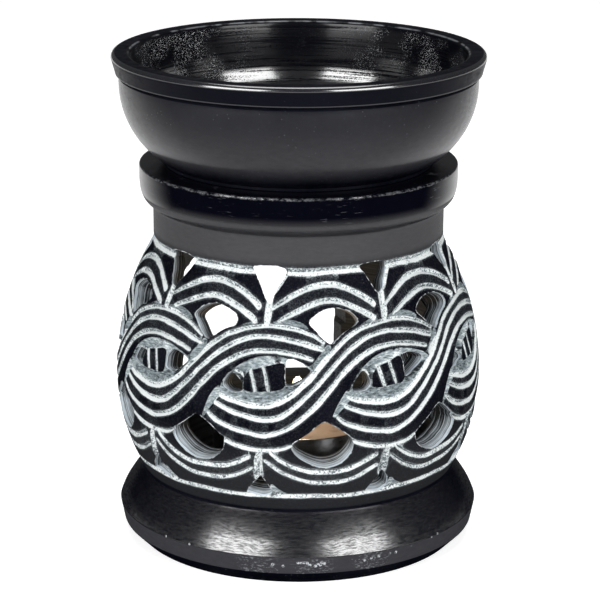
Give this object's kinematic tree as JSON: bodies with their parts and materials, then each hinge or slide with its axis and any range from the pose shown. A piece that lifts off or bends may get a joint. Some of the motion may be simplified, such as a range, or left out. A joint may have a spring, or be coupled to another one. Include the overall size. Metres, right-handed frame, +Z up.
{
  "type": "essential oil burner",
  "caption": "Turned stone oil burner: a pierced, plait carved drum on a round foot holds a tea light under a lift-off bowl.",
  "frame": {"origin": "centre of the foot's underside, on the surface that the burner stands on", "axes": "+Z up along the turned axis, -Y towards the front, the arched doorway at the back"},
  "size_m": [0.08, 0.08, 0.107],
  "materials": {
    "black_soapstone": "satin, with pale carved lines",
    "polished_soapstone": "waxed satin polish",
    "cup_aluminium": "thin pressed sheet",
    "candle_wax": "soft, slightly translucent",
    "cotton_wick": "charred braid",
    "sustainer_steel": "pressed sheet"
  },
  "bodies": {
    "stand": {"carved_body": "black_soapstone"},
    "dish": {"oil_dish": "polished_soapstone"},
    "tealight": {"tealight_cup": "cup_aluminium", "tealight_wax": "candle_wax", "tealight_wick": "cotton_wick", "wick_sustainer": "sustainer_steel"}
  },
  "joints": [
    {"name": "dish_lift", "type": "slide", "parent": "stand", "child": "dish", "axis": [0, 0, 1], "range_m": [0, 0.06]},
    {"name": "tealight_lift", "type": "slide", "parent": "stand", "child": "tealight", "axis": [0, 0, 1], "range_m": [0, 0.045]}
  ]
}
